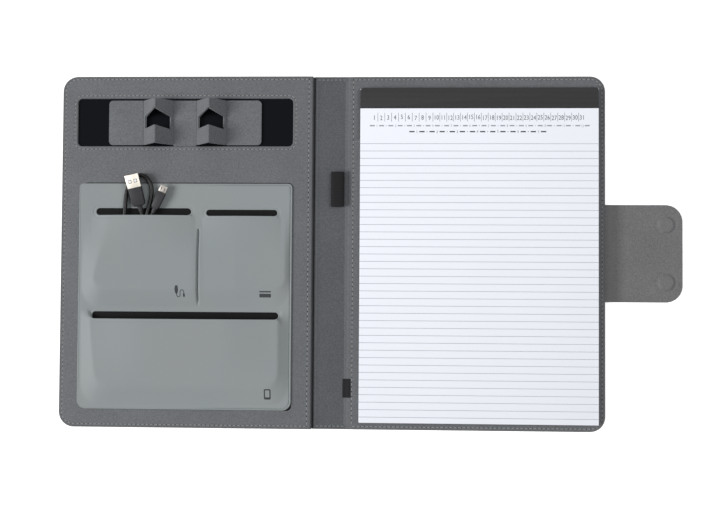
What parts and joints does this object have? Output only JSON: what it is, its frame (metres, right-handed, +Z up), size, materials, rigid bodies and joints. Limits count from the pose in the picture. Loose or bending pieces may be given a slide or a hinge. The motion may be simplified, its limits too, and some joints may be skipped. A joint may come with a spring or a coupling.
{
  "type": "wireless charging pad folio",
  "caption": "A4 folio with a wireless charging pad, a folding phone stand, moulded pockets with a lead, a ruled notepad and a magnetic closing flap.",
  "frame": {"origin": "middle of the open folio footprint, on the surface that it lies on", "axes": "+X from the front cover over the spine to the closing flap, +Y up the page, +Z up out of the open pages"},
  "size_m": [0.5524, 0.314, 0.0226],
  "materials": {
    "melange_cover": "fine melange leathercloth",
    "melange_lining": "fine melange leathercloth",
    "grey_board": "matte board",
    "magnet": "nickel plated",
    "black_inlay": "fine matte",
    "steel": "rolled",
    "module_plastic": "matte",
    "ferrite": "dull",
    "copper": "enamelled copper",
    "pcb_green": "solder mask",
    "chip_black": "matte",
    "capacitor": "matte",
    "socket_metal": "plated",
    "stand_skin": "fine melange leathercloth",
    "moulded_panel": "soft matte",
    "black_elastic": "ribbed elastic",
    "black_tape": "woven",
    "paper": "matte",
    "binding_tape": "matte",
    "lead_rubber": "soft matte",
    "plug_black": "matte",
    "plug_metal": "plated"
  },
  "bodies": {
    "back_cover": {"back_skin": "melange_cover", "flap_anchor": "melange_cover", "back_board": "grey_board", "back_lining": "melange_lining", "pocket_sheet": "melange_lining"},
    "spine": {"spine_skin": "melange_cover", "spine_board": "grey_board", "spine_lining": "melange_lining", "pen_loop": "black_elastic", "side_tag": "black_tape"},
    "front_cover": {"front_skin": "melange_cover", "front_board": "grey_board", "keeper_magnets": "magnet", "front_lining": "melange_lining", "charge_surface": "black_inlay", "steel_plates": "steel", "module_base": "module_plastic", "module_lid": "module_plastic", "ferrite_sheet": "ferrite", "charging_coil": "copper", "circuit_board": "pcb_green", "power_chip": "chip_black", "board_capacitors": "capacitor", "input_socket": "socket_metal", "stand_middle": "stand_skin", "pocket_panel": "moulded_panel", "lead_cord": "lead_rubber", "usb_a_body": "plug_black", "usb_a_shell": "plug_metal", "usb_a_tongue": "plug_black", "micro_body": "plug_black", "micro_shell": "plug_metal"},
    "stand_left_inner": {"stand_left_inner": "stand_skin"},
    "stand_left_outer": {"stand_left_outer": "stand_skin"},
    "stand_left_flap": {"stand_left_flap": "stand_skin", "stand_left_magnets": "magnet"},
    "stand_right_inner": {"stand_right_inner": "stand_skin"},
    "stand_right_outer": {"stand_right_outer": "stand_skin"},
    "stand_right_flap": {"stand_right_flap": "stand_skin", "stand_right_magnets": "magnet"},
    "notepad": {"pad_backing": "grey_board", "pad_pages": "paper", "pad_binding": "binding_tape"},
    "flap_riser": {"flap_riser": "melange_cover"},
    "flap_tip": {"flap_tip_skin": "melange_cover", "flap_tip_lining": "melange_lining", "flap_magnets": "magnet"}
  },
  "joints": [
    {"name": "spine_fold", "type": "hinge", "parent": "back_cover", "child": "spine", "pos_m": [-0.0181, 0, 0.0006], "axis": [0, 1, 0], "range_deg": [0, 90]},
    {"name": "cover_fold", "type": "hinge", "parent": "spine", "child": "front_cover", "pos_m": [-0.0496, 0, 0.0006], "axis": [0, 1, 0], "range_deg": [0, 90]},
    {"name": "stand_left_lower", "type": "hinge", "parent": "front_cover", "child": "stand_left_inner", "pos_m": [-0.1757, 0.1152, 0.0067], "axis": [0, -1, 0], "range_deg": [0, 52.5]},
    {"name": "stand_left_ridge", "type": "hinge", "parent": "stand_left_inner", "child": "stand_left_outer", "pos_m": [-0.18927, 0.1152, 0.02175], "axis": [0, -1, 0], "range_deg": [-105, 0]},
    {"name": "stand_left_end", "type": "hinge", "parent": "stand_left_outer", "child": "stand_left_flap", "pos_m": [-0.20283, 0.1152, 0.0067], "axis": [0, -1, 0], "range_deg": [0, 52.5]},
    {"name": "stand_right_lower", "type": "hinge", "parent": "front_cover", "child": "stand_right_inner", "pos_m": [-0.1549, 0.1152, 0.0067], "axis": [0, 1, 0], "range_deg": [0, 52.5]},
    {"name": "stand_right_ridge", "type": "hinge", "parent": "stand_right_inner", "child": "stand_right_outer", "pos_m": [-0.14133, 0.1152, 0.02175], "axis": [0, 1, 0], "range_deg": [-105, 0]},
    {"name": "stand_right_end", "type": "hinge", "parent": "stand_right_outer", "child": "stand_right_flap", "pos_m": [-0.12777, 0.1152, 0.0067], "axis": [0, 1, 0], "range_deg": [0, 52.5]},
    {"name": "flap_root_fold", "type": "hinge", "parent": "back_cover", "child": "flap_riser", "pos_m": [0.2113, 0, 0.0015], "axis": [0, -1, 0], "range_deg": [0, 90]},
    {"name": "flap_tip_fold", "type": "hinge", "parent": "flap_riser", "child": "flap_tip", "pos_m": [0.2446, 0, 0.0015], "axis": [0, -1, 0], "range_deg": [0, 90]},
    {"name": "notepad_slide", "type": "slide", "parent": "back_cover", "child": "notepad", "axis": [0, 1, 0], "range_m": [0, 0.255]}
  ],
  "couplings": [
    {"joint": "cover_fold", "follows": "spine_fold", "ratio": 1},
    {"joint": "stand_left_ridge", "follows": "stand_left_lower", "ratio": -2},
    {"joint": "stand_left_end", "follows": "stand_left_lower", "ratio": 1},
    {"joint": "stand_right_ridge", "follows": "stand_right_lower", "ratio": -2},
    {"joint": "stand_right_end", "follows": "stand_right_lower", "ratio": 1}
  ]
}
